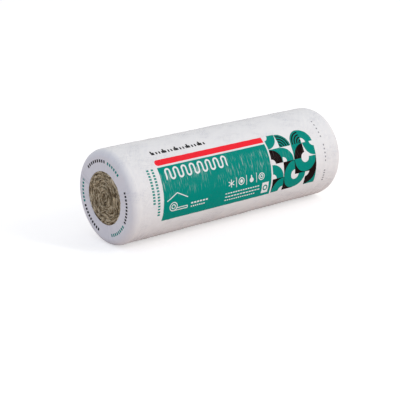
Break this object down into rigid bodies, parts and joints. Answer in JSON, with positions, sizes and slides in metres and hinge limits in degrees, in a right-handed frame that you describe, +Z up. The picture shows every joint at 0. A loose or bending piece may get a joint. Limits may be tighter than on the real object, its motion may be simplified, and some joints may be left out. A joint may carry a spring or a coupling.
{
  "type": "insulation roll",
  "caption": "Cylindrical roll of mineral wool mat, packed under compression in a printed white film sleeve that leaves a round opening in each end.",
  "frame": {"origin": "on the floor, under the middle of the roll as it lies on its side", "axes": "+X along the roll's axis, away from the end that the picture shows; +Z up, across the roll; -Y towards the side with the print"},
  "size_m": [1.2002, 0.415, 0.415],
  "materials": {
    "printed_film": "thin white polyethylene film with a slight gloss and fine creases, printed with a green panel and a red band",
    "mineral_wool": "matt brown mineral wool, fibrous, with compressed layers"
  },
  "bodies": {
    "root": {"film_sleeve": "printed_film", "wool_roll": "mineral_wool"}
  },
  "joints": []
}
